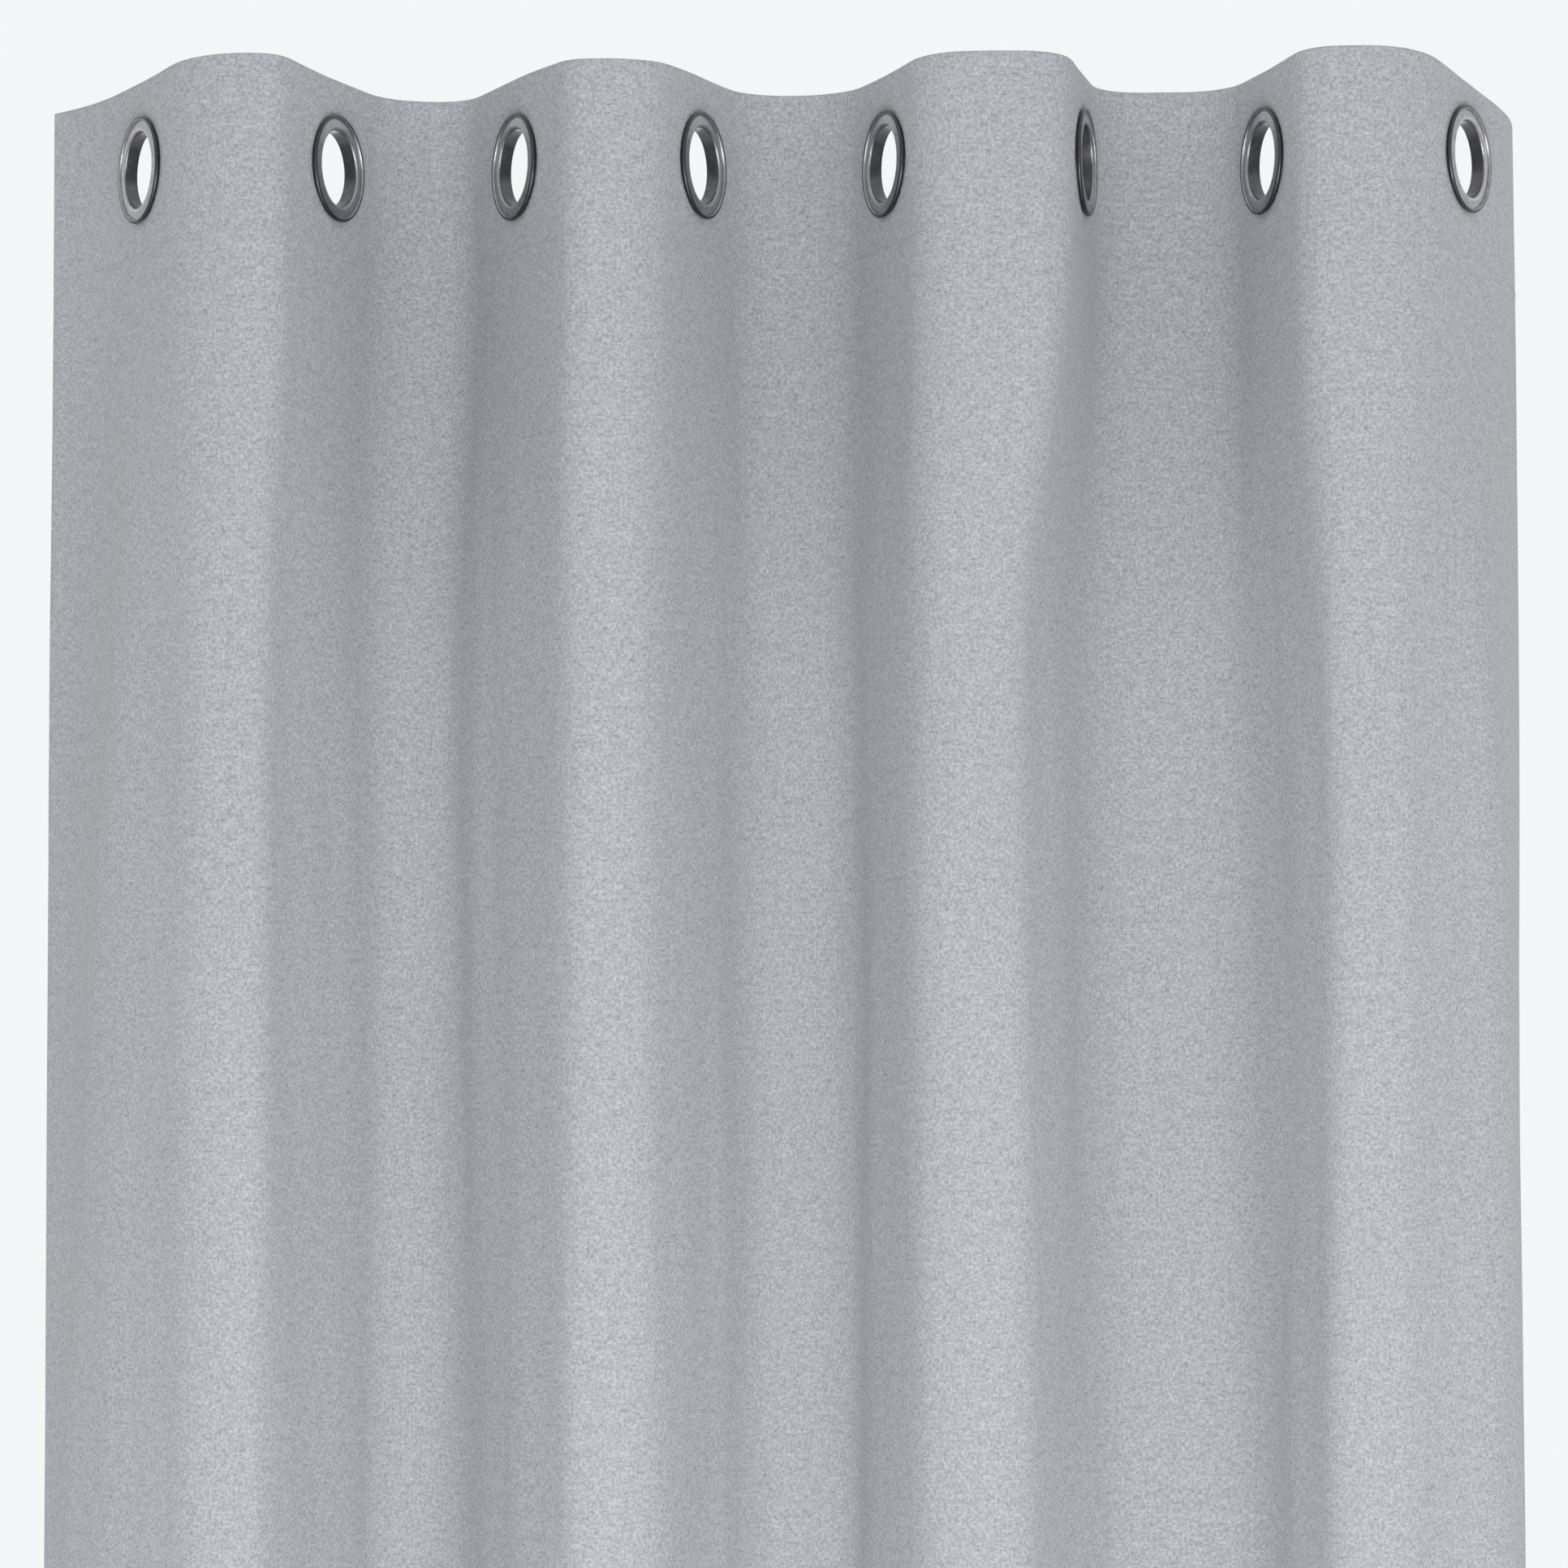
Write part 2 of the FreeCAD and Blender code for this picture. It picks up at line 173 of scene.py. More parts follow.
def eyelets():
    """Each eyelet's place along the rod, and the cloth's heading where it crosses the rod."""
    found = []
    for mount in eyelet_mounts():
        across = mount["axis"][1]
        found.append((mount["pos_m"][0], -math.copysign(math.acos(abs(across)), across)))
    return found


def fold_lines():
    """Where each fold line stands, seen from above."""
    joints = frame["record"]["behaviour"]["joints"]
    return [joint["pos_m"][:2] for joint in joints if joint["name"].startswith("fold_line_")]


def half_fold(run, depth, tilt, crest, flat):
    """From a fold's crest to an eyelet's line: (crest length, arc radius, straight length)."""
    radius = ((run - crest) * math.tan(tilt) - depth) / (1 / math.cos(tilt) - 1)
    straight = (depth - radius * (1 - math.cos(tilt))) / math.sin(tilt)
    if straight < flat:
        straight = flat
        radius = (depth - straight * math.sin(tilt)) / (1 - math.cos(tilt))
    crest = run - radius * math.sin(tilt) - straight * math.cos(tilt)
    return crest, radius, straight


def fold_moves(left, right, fold, flats, flat):
    """The cloth's (length, turn) moves between two eyelets' lines, each (x, y, heading)."""
    side = -1 if left[2] < 0 else 1
    halves = []
    for (x, y, heading), crest in zip((left, right), flats):
        halves.append(half_fold(abs(fold[0] - x), abs(fold[1] - y), abs(heading), crest * MM, flat))
    (crest_a, radius_a, straight_a), (crest_b, radius_b, straight_b) = halves
    tilt_a, tilt_b = abs(left[2]), abs(right[2])
    return [
        (straight_a, 0.0),
        (radius_a * tilt_a, -side * tilt_a),
        (crest_a + crest_b, 0.0),
        (radius_b * tilt_b, -side * tilt_b),
        (straight_b, 0.0),
    ]


def follow(start, heading, moves, distance):
    """Where a path of (length, turn) moves has got to: (x, y, heading)."""
    x, y = start
    for length, turn in moves:
        step = min(distance, length)
        if abs(turn) > TINY:
            radius = length / turn
            after = heading + step / radius
            x += radius * (math.sin(after) - math.sin(heading))
            y -= radius * (math.cos(after) - math.cos(heading))
            heading = after
        else:
            x += step * math.cos(heading)
            y += step * math.sin(heading)
        distance -= step
        if distance <= 0:
            break
    return x, y, heading


def length_of(moves):
    return sum(length for length, _ in moves)


def softened(path, distance, reach):
    """Where a path has got to, averaged over a reach on either side to ease its bends."""
    start, heading, moves = path
    reach = min(reach, distance, length_of(moves) - distance)
    if reach < TINY:
        return follow(start, heading, moves, distance)
    total = [0.0, 0.0, 0.0]
    for share, weight in EASING:
        place = follow(start, heading, moves, distance + share * reach)
        total = [old + weight * new for old, new in zip(total, place)]
    weights = sum(weight for _, weight in EASING)
    return tuple(value / weights for value in total)


class Panel:
    """The cloth between two upright lines, with its middle line at the header and lower down."""

    def __init__(self, number, rings, folds):
        self.number = number
        self.rings = rings
        self.ring_at_left = number > 0
        self.ring_at_right = number < len(rings)
        lines = [(place, 0.0, heading) for place, heading in rings]
        crests = self.crests(folds, HEADER_CREST, 1.0, 1.0)
        self.header = self.path(lines, crests, HEADER_FLATS, FLAT_AROUND, HEADER_LEFT, HEADER_RIGHT)
        lines = []
        for (place, heading), tilt, along, across in zip(rings, LOWER_TILT, LOWER_ALONG, LOWER_ACROSS):
            lines.append((place + along * MM, across * MM, math.copysign(math.radians(tilt), heading)))
        crests = self.crests(folds, LOWER_CREST, LOWER_CREST_DEPTH, LOWER_TROUGH_DEPTH)
        self.lower = self.path(lines, crests, LOWER_FLATS, FLAT_LOWER, LOWER_LEFT, LOWER_RIGHT)
        self.lower_lines = lines
        self.length = length_of(self.header[2])
        self.flat_width = SIDE_MARGIN
        if self.ring_at_left and self.ring_at_right:
            self.flat_width = EYELET_SPACING
        self.flat_start = -SIDE_MARGIN
        if self.ring_at_left:
            self.flat_start = (number - 1) * EYELET_SPACING

    def crests(self, folds, shifts, front, behind):
        """The folds' crests: moved along the rod by shifts in mm, their depths scaled."""
        found = []
        for (x, y), shift in zip(folds, shifts):
            found.append((x + shift * MM, y * (front if y < 0 else behind)))
        return found

    def path(self, lines, crests, flats, flat, left_edge, right_edge):
        """(start, heading, moves) of the cloth's middle line through the eyelets' lines."""
        if not self.ring_at_left:
            x, y, heading = lines[0]
            side = 1 if heading > 0 else -1
            moves = [(length, side * turn) for length, turn in reversed(left_edge)]
            first = heading - sum(turn for _, turn in moves)
            end = follow((0.0, 0.0), first, moves, length_of(moves))
            return (x - end[0], y - end[1]), first, moves
        x, y, heading = lines[self.number - 1]
        if not self.ring_at_right:
            side = 1 if heading > 0 else -1
            return (x, y), heading, [(length, side * turn) for length, turn in right_edge]
        left, right = lines[self.number - 1], lines[self.number]
        fold = self.number - 1
        return (x, y), heading, fold_moves(left, right, crests[fold], flats[fold], flat)

    def flat(self, along):
        """The distance across the flat cloth from the first eyelet."""
        return self.flat_start + self.flat_width * along / self.length

    def past_last_ring(self, along):
        """The distance across the flat cloth from the last eyelet, to the right."""
        return self.flat(along) - (len(self.rings) - 1) * EYELET_SPACING

    def from_ring(self, along, z):
        """The distance from the middle of the panel's nearest eyelet, over the cloth."""
        near = FAR
        if self.ring_at_left:
            near = min(near, math.hypot(along, z))
        if self.ring_at_right:
            near = min(near, math.hypot(self.length - along, z))
        return near

    def lift(self, along, z):
        """How far the cloth is raised at its folds, and hangs down at its free top corner."""
        fade = 1 - smooth(-z, *LIFT_FADE)
        raised = 0.0
        if self.ring_at_left and self.ring_at_right:
            raised = TOP_LIFT[self.number - 1] * math.sin(math.pi * along / self.length) ** 2
        free = smooth(self.past_last_ring(along), *DROOP_PAST_RING)
        free *= smooth(self.from_ring(along, z), *DROOP_AROUND_RING)
        return (raised - CORNER_DROOP * free) * fade * MM

    def ripple(self, along, z):
        """How far the cloth's own unevenness moves it backwards."""
        flat = self.flat(along)
        hanging = smooth(-z, *RIPPLE_DEPTHS)
        loose = smooth(self.from_ring(along, z), *RIPPLE_AROUND_RING)
        sway = 0.0
        for across, down, seed, height, at_header in RIPPLES:
            wave = noise.noise(Vector((flat * across, z * down, seed)))
            sway += height * wave * (at_header + (1 - at_header) * hanging)
        return sway * MM * loose

    def point(self, along, z, out):
        """The place on the cloth at this distance along it, height, and distance behind it."""
        past_rings = max(0.0, -self.flat(along), self.past_last_ring(along))
        loose_to = LOOSE_TO + (EDGE_LOOSE_TO - LOOSE_TO) * smooth(past_rings, 0.0, SIDE_MARGIN)
        share = smooth(-z, LOOSE_FROM, loose_to)
        x, y, turn = softened(self.header, along, SOFTEN_HEADER)
        if share:
            along_low = along * length_of(self.lower[2]) / self.length
            low = softened(self.lower, along_low, SOFTEN_LOWER)
            x += (low[0] - x) * share
            y += (low[1] - y) * share
            turn += (low[2] - turn) * share
        out += self.ripple(along, z)
        return Vector((x - out * math.sin(turn), y + out * math.cos(turn), z + self.lift(along, z)))


# ---------------------------------------------------------------- the grid of a panel

# the sizes of the grid's cells: around the eyelets and down the header, across the folds,
# across the two edge panels, and then down the rest of the cloth
FINE_CELL = 4 * MM
FOLD_CELL = 1.8 * MM
SIDE_CELL = 3 * MM
UNDER_HEADER_CELL = 6 * MM
UPPER_CELL = 20 * MM
LOWER_CELL = 38 * MM
HEM_CELL = 16 * MM
UNDER_HEADER_FOOT = HEADER_FOOT - 30 * MM
UPPER_FOOT = -0.4
# in degrees: where a rounded edge's rows lie, and the bend that is shaded as a sharp edge
ROUNDING_ANGLES = (0, 30, 60)
SHARP_ANGLE = 42


def steps(first, last, size):
    """Evenly spaced values from first up to, but not including, last."""
    count = max(1, math.ceil(abs(last - first) / size))
    return [first + (last - first) * i / count for i in range(count)]


def rounding(radius):
    """How far in from a rounded edge its rows lie: a quarter circle in three steps."""
    return [radius * (1 - math.cos(math.radians(angle))) for angle in ROUNDING_ANGLES]


def heights():
    """The heights of a panel's rows, from its top edge to its bottom edge."""
    top_round = (HEADER_BACK - FACE) / 2
    bottom_round = (HEM_BACK - FACE) / 2
    rows = [TOP - step for step in rounding(top_round)]
    above = TOP - top_round
    for below in (AROUND_HOLE, HOLE_SQUARE, -HOLE_SQUARE, -AROUND_HOLE, HEADER_FOOT):
        rows += steps(above, below, FINE_CELL)
        above = below
    rows += [HEADER_FOOT]
    rows += steps(HEADER_FOOT - HEM_STEP, UNDER_HEADER_FOOT, UNDER_HEADER_CELL)
    rows += steps(UNDER_HEADER_FOOT, UPPER_FOOT, UPPER_CELL)
    rows += steps(UPPER_FOOT, HEM_TOP + HEM_STEP, LOWER_CELL)
    rows += [HEM_TOP + HEM_STEP]
    rows += steps(HEM_TOP, BOTTOM + bottom_round, HEM_CELL)
    rows += [BOTTOM + bottom_round]
    rows += [BOTTOM + step for step in reversed(rounding(bottom_round))]
    return rows


def distances(panel):
    """The distances along the cloth of a panel's columns, from left to right."""
    side_round = (HEM_BACK - FACE) / 2
    end = panel.length
    columns = []
    if panel.ring_at_left:
        columns += steps(0.0, HOLE_SQUARE, FINE_CELL)
        columns += steps(HOLE_SQUARE, AROUND_HOLE, FINE_CELL)
        first = AROUND_HOLE
    else:
        columns += rounding(side_round)
        columns += steps(side_round, SIDE_HEM, SIDE_CELL)
        columns += [SIDE_HEM]
        first = SIDE_HEM + HEM_STEP
    if panel.ring_at_right:
        columns += steps(first, end - AROUND_HOLE, FOLD_CELL)
        columns += steps(end - AROUND_HOLE, end - HOLE_SQUARE, FINE_CELL)
        columns += steps(end - HOLE_SQUARE, end, FINE_CELL) + [end]
    else:
        columns += steps(first, end - SIDE_HEM - HEM_STEP, SIDE_CELL)
        columns += [end - SIDE_HEM - HEM_STEP]
        columns += steps(end - SIDE_HEM, end - side_round, SIDE_CELL)
        columns += [end - side_round]
        columns += [end - step for step in reversed(rounding(side_round))]
    return columns


def around_hole(panel, along, z):
    """Moves a grid point near an eyelet, so that a square ring of them becomes the hole."""
    if panel.ring_at_left and along < AROUND_HOLE:
        centre = 0.0
    elif panel.ring_at_right and along > panel.length - AROUND_HOLE:
        centre = panel.length
    else:
        return along, z
    across = along - centre
    square = max(abs(across), abs(z))
    if square >= AROUND_HOLE or square < HOLE_SQUARE - TINY:
        return along, z
    share = (square - HOLE_SQUARE) / (AROUND_HOLE - HOLE_SQUARE)
    scale = (1 - share) * HOLE_RADIUS / math.hypot(across, z) + share * AROUND_HOLE / square
    return centre + across * scale, z * scale


def in_hole(panel, along, z):
    """True if the middle of a grid cell is inside an eyelet's hole."""
    if abs(z) > HOLE_SQUARE:
        return False
    at_left = panel.ring_at_left and along < HOLE_SQUARE
    at_right = panel.ring_at_right and along > panel.length - HOLE_SQUARE
    return at_left or at_right


def layers(panel, along, z):
    """The face's and back's distances from the cloth's middle line, rounded off at its edges."""
    back = SINGLE_BACK
    from_side = FAR
    if not panel.ring_at_left:
        from_side = along
    if not panel.ring_at_right:
        from_side = panel.length - along
    if from_side < SIDE_HEM + HEM_STEP / 2:
        back = HEM_BACK
    if z > HEADER_FOOT - HEM_STEP / 2:
        back = HEADER_BACK
    elif z < HEM_TOP + HEM_STEP / 2:
        back = HEM_BACK
    middle = (FACE + back) / 2
    half = (back - FACE) / 2
    full = 1.0
    for distance in (TOP - z, z - BOTTOM, from_side):
        inward = min(1.0, max(0.0, distance / half))
        full = min(full, math.sqrt(inward * (2 - inward)))
    from_ridge = abs(panel.from_ring(along, z) - FLANGE_RADIUS - SWELL_OUTSIDE)
    swell = SWELL_HEIGHT * (1 - smooth(from_ridge, 0, SWELL_WIDTH))
    return middle - (half + swell) * full, middle + half * full


def panel_mesh(panel):
    """The closed shell of a panel, its edges rounded and its eyelet holes open."""
    rows = heights()
    columns = distances(panel)
    points, flats = [], []
    face_side, back_side = [], []
    for z in rows:
        face_row, back_row = [], []
        for along in columns:
            on_cloth = around_hole(panel, along, z)
            face, back = layers(panel, along, z)
            for row, out in ((face_row, face), (back_row, back)):
                if row is back_row and back - face < TINY:
                    row.append(face_row[-1])
                    continue
                row.append(len(points))
                points.append(panel.point(*on_cloth, out))
                flats.append((panel.flat(on_cloth[0]), on_cloth[1]))
        face_side.append(face_row)
        back_side.append(back_row)

    faces = []
    open_cells = set()
    for i in range(len(rows) - 1):
        face_above, face_below = face_side[i], face_side[i + 1]
        back_above, back_below = back_side[i], back_side[i + 1]
        for j in range(len(columns) - 1):
            if in_hole(panel, (columns[j] + columns[j + 1]) / 2, (rows[i] + rows[i + 1]) / 2):
                open_cells.add((i, j))
                continue
            faces.append([face_above[j], face_below[j], face_below[j + 1], face_above[j + 1]])
            faces.append([back_above[j], back_above[j + 1], back_below[j + 1], back_below[j]])
    # the shell is closed along the panel's upright ends and around its holes
    for i in range(len(rows) - 1):
        for j in range(len(columns)):
            left_open = j == 0 or (i, j - 1) in open_cells
            right_open = j == len(columns) - 1 or (i, j) in open_cells
            if left_open != right_open:
                wall = [face_side[i][j], back_side[i][j], back_side[i + 1][j], face_side[i + 1][j]]
                faces.append(wall if left_open else wall[::-1])
    for i in range(1, len(rows) - 1):
        for j in range(len(columns) - 1):
            above_open = (i - 1, j) in open_cells
            below_open = (i, j) in open_cells
            if above_open != below_open:
                wall = [face_side[i][j], face_side[i][j + 1], back_side[i][j + 1], back_side[i][j]]
                faces.append(wall if above_open else wall[::-1])
    return points, [without_repeats(face) for face in faces], flats


def without_repeats(face):
    """A face's corners, each once: where the two sides of the cloth meet, some are shared."""
    return list(dict.fromkeys(face))


def add_mesh(name, points, faces, flats=None):
    """A smooth mesh object. flats are the points' places on the flat cloth, for its weave."""
    mesh = bpy.data.meshes.new(name)
    mesh.from_pydata(points, [], [face for face in faces if len(face) > 2])
    if flats:
        layer = mesh.uv_layers.new(name="flat_cloth")
        for loop in mesh.loops:
            layer.data[loop.index].uv = flats[loop.vertex_index]
    mesh.validate()
    mesh.polygons.foreach_set("use_smooth", [True] * len(mesh.polygons))
    mesh.set_sharp_from_angle(angle=math.radians(SHARP_ANGLE))
    obj = bpy.data.objects.new(name, mesh)
    bpy.context.collection.objects.link(obj)
    return obj


# ---------------------------------------------------------------- stitches

STITCH_LENGTH = 3.2 * MM
STITCH_PITCH = 4.2 * MM
THREAD_RADIUS = 0.28 * MM
# how far the thread's middle stands off the cloth, how far in from a hem's edge a row runs,
# how far short of the other hems an upright row stops, and a short way along a row
THREAD_PROUD = 0.3 * THREAD_RADIUS
ROW_INSET = 3 * MM
ROW_GAP = 2 * MM
AHEAD = 0.5 * MM
# a stitch's shape: (share of its half length, share of the thread's radius)
STITCH_RINGS = ((-1.0, 0.35), (-0.7, 0.95), (0.7, 0.95), (1.0, 0.35))
STITCH_SIDES = 6


def add_stitch(points, faces, middle, along, out):
    """One stitch: a short bead of thread lying on the cloth."""
    across = along.cross(out).normalized()
    first = len(points)
    for reach, thick in STITCH_RINGS:
        for side in range(STITCH_SIDES):
            angle = 2 * math.pi * side / STITCH_SIDES
            around = across * math.cos(angle) + out * math.sin(angle)
            points.append(middle + along * (reach * STITCH_LENGTH / 2) + around * (thick * THREAD_RADIUS))
    for ring in range(len(STITCH_RINGS) - 1):
        for side in range(STITCH_SIDES):
            after = (side + 1) % STITCH_SIDES
            low = first + ring * STITCH_SIDES
            high = low + STITCH_SIDES
            faces.append([low + side, low + after, high + after, high + side])
    faces.append([first + side for side in reversed(range(STITCH_SIDES))])
    last = first + (len(STITCH_RINGS) - 1) * STITCH_SIDES
    faces.append([last + side for side in range(STITCH_SIDES)])


def stitch_row(panel, name, places, offsets):
    """Stitches at (along, z) places, on the face, the back or both: offsets says which.

    Each place comes with a second one a little further along the row.
    """
    points, faces = [], []
    for here, ahead in places:
        for offset in offsets:
            middle = panel.point(*here, offset)
            along = (panel.point(*ahead, offset) - middle).normalized()
            out = (panel.point(*here, offset * 2) - middle).normalized()
            add_stitch(points, faces, middle, along, out)
    return add_mesh(name, points, faces)


def level_places(panel, z):
    """Places for a level row of stitches, all across a panel."""
    count = round(panel.length / STITCH_PITCH)
    pitch = panel.length / count
    middles = [(i + 0.5) * pitch for i in range(count)]
    return [((along, z), (along + AHEAD, z)) for along in middles]


def upright_places(along):
    """Places for an upright row of stitches, from the header to the bottom hem."""
    room = HEADER_FOOT - HEM_TOP - 2 * ROW_GAP
    count = round(room / STITCH_PITCH)
    middles = [HEADER_FOOT - ROW_GAP - (i + 0.5) * room / count for i in range(count)]
    return [((along, z), (along, z - AHEAD)) for z in middles]


# ---------------------------------------------------------------- materials

def new_material(name):
    """An empty node material: its tree, its shader and a function that adds nodes."""
    material = bpy.data.materials.new(name)
    material.use_nodes = True
    tree = material.node_tree
    shader = tree.nodes["Principled BSDF"]

    def add(kind, settings=None, **inputs):
        """Adds a node. A setting is an attribute; an input is a value or another node's output.

        An input is given by its name, or as i and its number, such as i0.
        """
        made = tree.nodes.new(kind)
        for key, value in (settings or {}).items():
            setattr(made, key, value)
        for key, value in inputs.items():
            socket = made.inputs[int(key[1:])] if key[0] == "i" and key[1:].isdigit() else made.inputs[key]
            if isinstance(value, bpy.types.NodeSocket):
                tree.links.new(value, socket)
            else:
                socket.default_value = value
        return made

    return material, tree, shader, add


def flat_coordinates(add, stretch):
    """The place on the flat cloth, in metres, squeezed or stretched for a texture."""
    place = add("ShaderNodeUVMap", {"uv_map": "flat_cloth"})
    return add("ShaderNodeMapping", i0=place.outputs[0], Scale=(*stretch, 1.0)).outputs[0]


def speckle(add, place, scale, detail, roughness=0.5):
    """A noise texture, whose values lie mostly between 0.3 and 0.7."""
    made = add("ShaderNodeTexNoise", i0=place, Scale=scale, Detail=detail, Roughness=roughness)
    return made.outputs["Fac"]


def remap(add, value, old, new):
    """A value moved from one (low, high) range to another, and kept inside it."""
    return add("ShaderNodeMapRange", i0=value, i1=old[0], i2=old[1], i3=new[0], i4=new[1]).outputs[0]


def ramp(add, value, stops):
    """The colour that a value has among (position, colour) stops. The outer two come first."""
    made = add("ShaderNodeValToRGB", i0=value)
    elements = made.color_ramp.elements
    for element, (position, colour) in zip(list(elements), stops):
        element.position = position
        element.color = (*colour, 1)
    for position, colour in stops[2:]:
        elements.new(position).color = (*colour, 1)
    return made.outputs[0]


def melange_cloth():
    """Light grey melange weave: pale and dark fibres mixed in the yarn, matt and a little fuzzy."""
    material, tree, shader, add = new_material("melange_cloth")
    weft = speckle(add, flat_coordinates(add, (0.6, 1.2)), 660.0, 4.0, 0.64)
    warp = speckle(add, flat_coordinates(add, (1.15, 0.65)), 600.0, 3.0, 0.62)
    mixed = add("ShaderNodeMath", {"operation": "ADD"}, i0=weft, i1=warp).outputs[0]
    halved = add("ShaderNodeMath", {"operation": "MULTIPLY"}, i0=mixed, i1=0.5).outputs[0]
    fibres = ramp(add, halved, (
        (0.385, (0.232, 0.239, 0.263)),
        (0.615, (0.405, 0.41, 0.428)),
        (0.5, (0.322, 0.327, 0.347)),
    ))
    flecks = speckle(add, flat_coordinates(add, (0.7, 1.0)), 330.0, 1.0)
    rare = remap(add, flecks, (0.66, 0.74), (0.0, 0.45))
    flecked = add(
        "ShaderNodeMix", {"data_type": "RGBA"}, i0=rare, i6=fibres, i7=(0.165, 0.172, 0.21, 1)
    ).outputs[2]
    mottled = speckle(add, flat_coordinates(add, (0.9, 1.0)), 150.0, 3.0, 0.6)
    tone = remap(add, mottled, (0.35, 0.65), (0.93, 1.07))
    toned = add("ShaderNodeVectorMath", {"operation": "SCALE"}, i0=flecked, Scale=tone).outputs[0]
    cloudy = speckle(add, flat_coordinates(add, (1.0, 0.5)), 14.0, 3.0)
    tinge = remap(add, cloudy, (0.35, 0.65), (0.0, 0.3))
    colour = add(
        "ShaderNodeMix", {"data_type": "RGBA", "blend_type": "MULTIPLY"},
        i0=tinge, i6=toned, i7=(0.93, 0.93, 0.985, 1)
    ).outputs[2]
    tree.links.new(colour, shader.inputs["Base Color"])

    yarns = []
    for direction in ("X", "Y"):
        yarns.append(add(
            "ShaderNodeTexWave", {"wave_type": "BANDS", "bands_direction": direction},
            i0=flat_coordinates(add, (1.0, 1.0)), Scale=480.0, Distortion=1.2, Detail=1.0,
        ).outputs["Fac"])
    weave = add("ShaderNodeMath", {"operation": "MULTIPLY"}, i0=yarns[0], i1=yarns[1]).outputs[0]
    uneven = add("ShaderNodeMath", {"operation": "MULTIPLY_ADD"}, i0=halved, i1=2.2, i2=weave).outputs[0]
    bump = add("ShaderNodeBump", Strength=0.35, Distance=0.0003, Height=uneven)
    tree.links.new(bump.outputs[0], shader.inputs["Normal"])
    rough = remap(add, halved, (0.3, 0.7), (0.97, 0.82))
    tree.links.new(rough, shader.inputs["Roughness"])
    shader.inputs["Sheen Weight"].default_value = 0.18
    shader.inputs["Sheen Roughness"].default_value = 0.6
    shader.inputs["Specular IOR Level"].default_value = 0.2
    return material


def thread():
    """Grey sewing thread, twisted and slightly glossy."""
    material, tree, shader, add = new_material("thread")
    place = add("ShaderNodeTexCoord").outputs["Object"]
    twist = speckle(add, place, 1800.0, 2.0)
    colour = ramp(add, twist, ((0.35, (0.3, 0.305, 0.33)), (0.65, (0.46, 0.465, 0.49))))
    tree.links.new(colour, shader.inputs["Base Color"])
    bump = add("ShaderNodeBump", Strength=0.3, Distance=0.0001, Height=twist)
    tree.links.new(bump.outputs[0], shader.inputs["Normal"])
    shader.inputs["Roughness"].default_value = 0.6
    return material


# the metal's colour from inside the bore out to the rim, with a painted highlight near the lip and painted
# shade towards the rim: (share of the way, grey)
METAL_INSIDE = 20 * MM
METAL_OUTSIDE = 29.5 * MM
METAL_GREYS_AND_PAINTED_LIGHT = ((0.135, 0.3), (0.25, 0.55), (0.36, 0.38), (0.74, 0.36), (0.85, 0.26))
# painted shade down the inside of the barrel: (share of the way, colour)
BARREL_PAINTED_SHADE = (0.1, (0.1, 0.1, 0.105))
# painted shade in a dark line round the outside of the rim: (share of the way, colour)
RIM_PAINTED_SHADE = (0.9, (0.07, 0.07, 0.08))


def eyelet_metal(number, centre, axis):
    """Satin gunmetal, with painted shade down the barrel and round the rim, and a painted highlight on the
    lip.
    """
    material, tree, shader, add = new_material("eyelet_metal_%d" % number)
    place = add("ShaderNodeTexCoord").outputs["Object"]
    from_centre = add("ShaderNodeVectorMath", {"operation": "SUBTRACT"}, i0=place, i1=centre).outputs[0]
    crossed = {"operation": "CROSS_PRODUCT"}
    off_axis = add("ShaderNodeVectorMath", crossed, i0=from_centre, i1=axis).outputs[0]
    radius = add("ShaderNodeVectorMath", {"operation": "LENGTH"}, i0=off_axis).outputs["Value"]
    share = remap(add, radius, (METAL_INSIDE, METAL_OUTSIDE), (0.0, 1.0))
    greys_with_painted_light = [(position, (grey, grey, grey * 1.05)) for position, grey in METAL_GREYS_AND_PAINTED_LIGHT]
    # the colour ramp paints shade in the barrel and round the rim, and a highlight on the lip
    metal_colour_with_painted_light = ramp(add, share, [BARREL_PAINTED_SHADE, RIM_PAINTED_SHADE] + greys_with_painted_light)
    cloudy = speckle(add, from_centre, 260.0, 4.0, 0.6)
    worn = remap(add, cloudy, (0.3, 0.7), (0.8, 1.15))
    colour = add("ShaderNodeVectorMath", {"operation": "SCALE"}, i0=metal_colour_with_painted_light, Scale=worn).outputs[0]
    tree.links.new(colour, shader.inputs["Base Color"])
    scuffs = speckle(add, from_centre, 1400.0, 3.0)
    rough = remap(add, scuffs, (0.3, 0.7), (0.28, 0.46))
    tree.links.new(rough, shader.inputs["Roughness"])
    bump = add("ShaderNodeBump", Strength=0.12, Distance=0.0001, Height=scuffs)
    tree.links.new(bump.outputs[0], shader.inputs["Normal"])
    shader.inputs["Metallic"].default_value = 1.0
    return material


def pale_floor():
    """A plain pale floor, with the faintest mottling."""
    material, tree, shader, add = new_material("pale_floor")
    place = add("ShaderNodeTexCoord").outputs["Object"]
    cloudy = speckle(add, place, 3.0, 4.0)
    colour = ramp(add, cloudy, ((0.0, (0.74, 0.74, 0.74)), (1.0, (0.8, 0.8, 0.8))))
    tree.links.new(colour, shader.inputs["Base Color"])
    shader.inputs["Roughness"].default_value = 0.8
    return material


# ---------------------------------------------------------------- the object


def body_names(number):
    """The CAD bodies at a panel's left and right."""
    left = "edge" if number == 0 else "fold_%d" % number
    right = "fold_%d" % (number + 1)
    return left, right


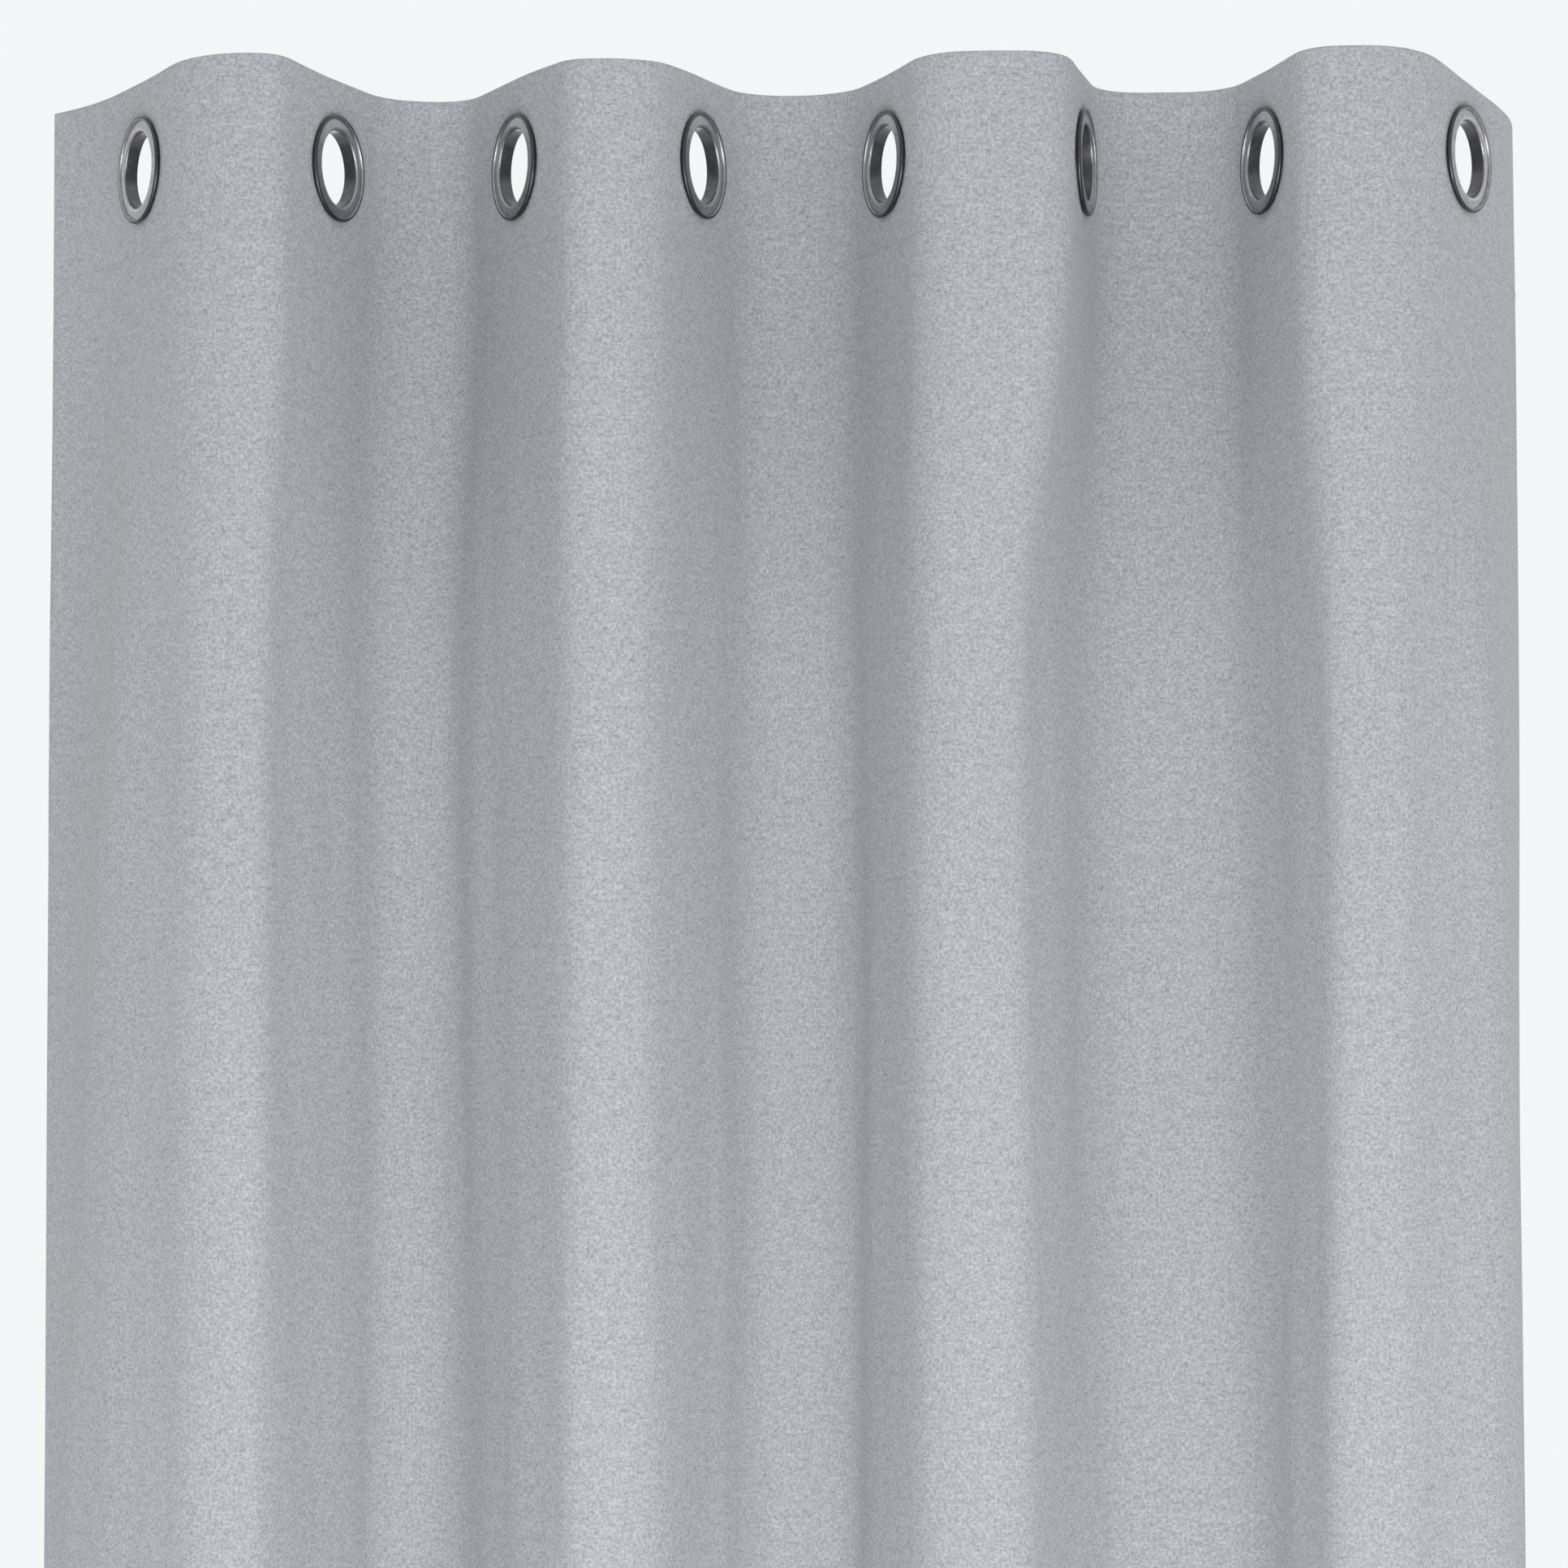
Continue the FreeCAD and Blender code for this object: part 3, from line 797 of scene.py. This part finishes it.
def attach(obj, panel):
    """Sets a piece's points where it stands, without tying it to the bodies at its two sides. The last
    panel rides on one body.
    """
    left, right = body_names(panel.number)
    if not panel.ring_at_right:
        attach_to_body(obj, left)
        return
    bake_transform(obj)


def cloth_nodes(number):
    """The CAD nodes that a panel of cloth stands for."""
    kinds = ("face_cloth", "header_stiffener", "header_turning", "bottom_hem")
    nodes = ["%s_%d" % (kind, number) for kind in kinds]
    if number == 0:
        nodes.append("side_hem_left")
    if number == len(eyelets()):
        nodes.append("side_hem_right")
    return nodes


def make_panel(panel, cloth, sewing):
    """A panel of cloth with its rows of stitches."""
    number = panel.number
    obj = add_mesh("cloth_panel_%d" % number, *panel_mesh(panel))
    obj.data.materials.append(cloth)
    on_face = FACE - THREAD_PROUD
    rows = [
        stitch_row(
            panel, "header_stitches_%d" % number, level_places(panel, HEADER_FOOT + ROW_INSET),
            (on_face, HEADER_BACK + THREAD_PROUD)
        ),
        stitch_row(
            panel, "bottom_hem_stitches_%d" % number, level_places(panel, HEM_TOP - ROW_INSET),
            (on_face, HEM_BACK + THREAD_PROUD)
        ),
    ]
    if not panel.ring_at_left or not panel.ring_at_right:
        in_from_side = SIDE_HEM - ROW_INSET
        side = "left" if number == 0 else "right"
        along = in_from_side if number == 0 else panel.length - in_from_side
        rows.append(stitch_row(
            panel, "side_hem_stitches_%s" % side, upright_places(along), (HEM_BACK + THREAD_PROUD,)
        ))
    for row in rows:
        row.data.materials.append(sewing)
    for piece in [obj] + rows:
        attach(piece, panel)
    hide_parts(*cloth_nodes(number))


def paint_eyelets():
    """Gives each eyelet's two CAD rings its metal."""
    for number, mount in enumerate(eyelet_mounts(), start=1):
        metal = eyelet_metal(number, mount["pos_m"], mount["axis"])
        for ring in ("eyelet_front_%d", "eyelet_back_%d"):
            obj = frame["nodes"][ring % number]
            obj.data.materials.clear()
            obj.data.materials.append(metal)


def make_curtain():
    rings = eyelets()
    folds = fold_lines()
    cloth = melange_cloth()
    sewing = thread()
    for number in range(len(rings) + 1):
        make_panel(Panel(number, rings, folds), cloth, sewing)
    paint_eyelets()


# ---------------------------------------------------------------- the stage

FLOOR_GAP = 15 * MM
FLOOR_HALF = 20.0
CAMERA_PLACE = Vector((0.433, -3.0, -0.567))
CAMERA_YAW = math.radians(1.51)
CAMERA_PITCH = math.radians(4.28)
CAMERA_ROLL = math.radians(-0.2)
CAMERA_LENS = 126.3
CAMERA_REACH = 50

SKY_COLOUR = (0.96, 0.965, 0.975, 1)
SKY_STRENGTH = 0.95
# each soft light: its name, its place, the point it is turned towards, its side and its watts
LIGHTS = (
    ("front", (1.0, -3.25, -2.0), (0.35, 0, -1.0), 1.8, 68),
    ("low_front", (0.4, -2.0, -2.1), (0.35, 0, -1.3), 1.6, 35),
    ("behind", (0.4, 3.0, -0.6), (0.35, 0, -1.2), 2.0, 30),
)


def make_floor():
    half = FLOOR_HALF
    z = BOTTOM - FLOOR_GAP
    corners = [(-half, -half, z), (half, -half, z), (half, half, z), (-half, half, z)]
    floor = add_mesh("floor", corners, [[0, 1, 2, 3]])
    floor.data.materials.append(pale_floor())


def add_light(name, place, towards, size, power):
    """A square soft light at place, turned towards a point."""
    light = bpy.data.lights.new(name, "AREA")
    light.size = size
    light.energy = power
    obj = bpy.data.objects.new(name, light)
    obj.location = place
    obj.rotation_euler = (Vector(towards) - Vector(place)).to_track_quat("-Z", "Y").to_euler()
    obj.visible_camera = False
    bpy.context.collection.objects.link(obj)


def make_lights():
    world = bpy.data.worlds.new("studio")
    world.use_nodes = True
    background = world.node_tree.nodes["Background"]
    background.inputs["Color"].default_value = SKY_COLOUR
    background.inputs["Strength"].default_value = SKY_STRENGTH
    bpy.context.scene.world = world
    for light in LIGHTS:
        add_light(*light)


def make_camera():
    """The camera at the photograph's viewing angle: turned by its yaw, pitch and roll."""
    level = Vector((math.cos(CAMERA_YAW), math.sin(CAMERA_YAW), 0))
    ahead = Vector((-math.sin(CAMERA_YAW), math.cos(CAMERA_YAW), 0))
    forward = ahead * math.cos(CAMERA_PITCH) + Vector((0, 0, math.sin(CAMERA_PITCH)))
    upright = level.cross(forward)
    right = level * math.cos(CAMERA_ROLL) + upright * math.sin(CAMERA_ROLL)
    up = upright * math.cos(CAMERA_ROLL) - level * math.sin(CAMERA_ROLL)
    camera = bpy.data.objects.new("camera", bpy.data.cameras.new("camera"))
    camera.data.lens = CAMERA_LENS
    camera.data.clip_end = CAMERA_REACH
    turn = Matrix((right, up, -forward)).transposed().to_4x4()
    camera.matrix_world = Matrix.Translation(CAMERA_PLACE) @ turn
    bpy.context.collection.objects.link(camera)
    bpy.context.scene.camera = camera


make_curtain()
make_floor()
make_lights()
make_camera()
bpy.context.scene.view_settings.view_transform = "Standard"
